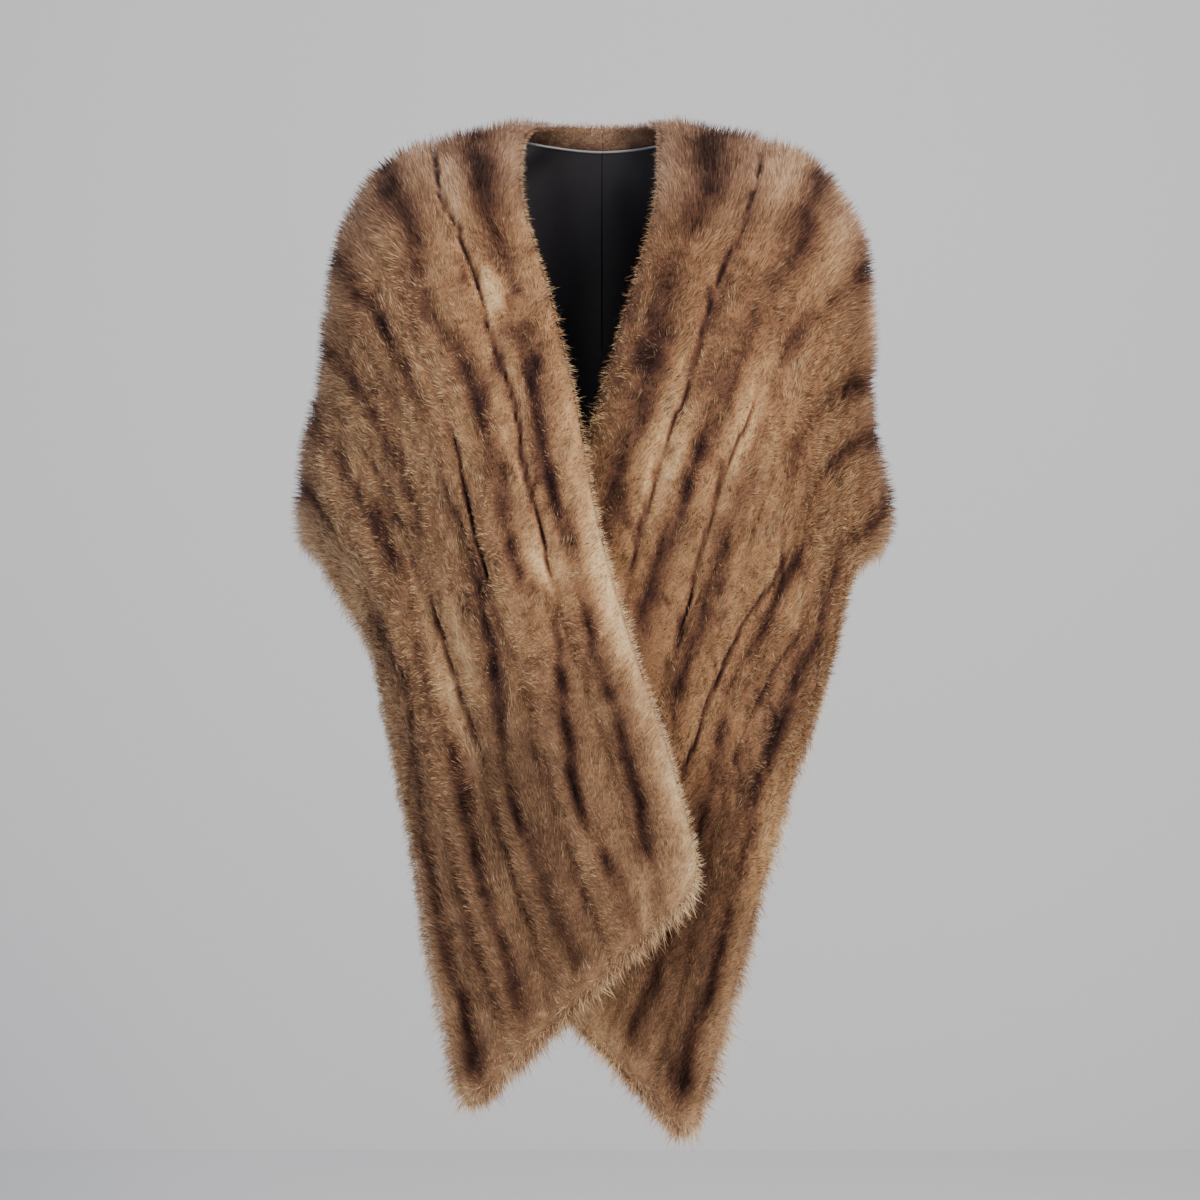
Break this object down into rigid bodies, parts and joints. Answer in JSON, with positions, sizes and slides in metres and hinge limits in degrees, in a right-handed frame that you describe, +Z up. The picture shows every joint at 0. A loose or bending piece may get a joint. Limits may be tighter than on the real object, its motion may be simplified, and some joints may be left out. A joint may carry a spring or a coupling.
{
  "type": "evening stole",
  "caption": "Long brown fur stole as worn: round the nape, over both shoulders, with one tapered front lapped over the other, lined with satin.",
  "frame": {"origin": "the middle of the shoulders that carry the stole, level with the base of the neck", "axes": "+Z up along the wearer's height, -Y towards the front, +X towards the wearer's left"},
  "size_m": [0.526, 0.3154, 0.8831],
  "materials": {
    "mink_fur": "deep soft brown pile with dark stripes and pale flanks",
    "black_satin": "smooth lustrous satin",
    "grey_piping": "fine twisted silver-grey trim"
  },
  "bodies": {
    "root": {"fur_row_1_right": "mink_fur", "fur_row_2_right": "mink_fur", "fur_insert_right": "mink_fur", "fur_row_3_right": "mink_fur", "fur_row_4_right": "mink_fur", "fur_row_5_right": "mink_fur", "lining_right": "black_satin", "piping_right": "grey_piping", "fur_row_1_left": "mink_fur", "fur_row_2_left": "mink_fur", "fur_insert_left": "mink_fur", "fur_row_3_left": "mink_fur", "fur_row_4_left": "mink_fur", "fur_row_5_left": "mink_fur", "lining_left": "black_satin", "piping_left": "grey_piping"}
  },
  "joints": []
}
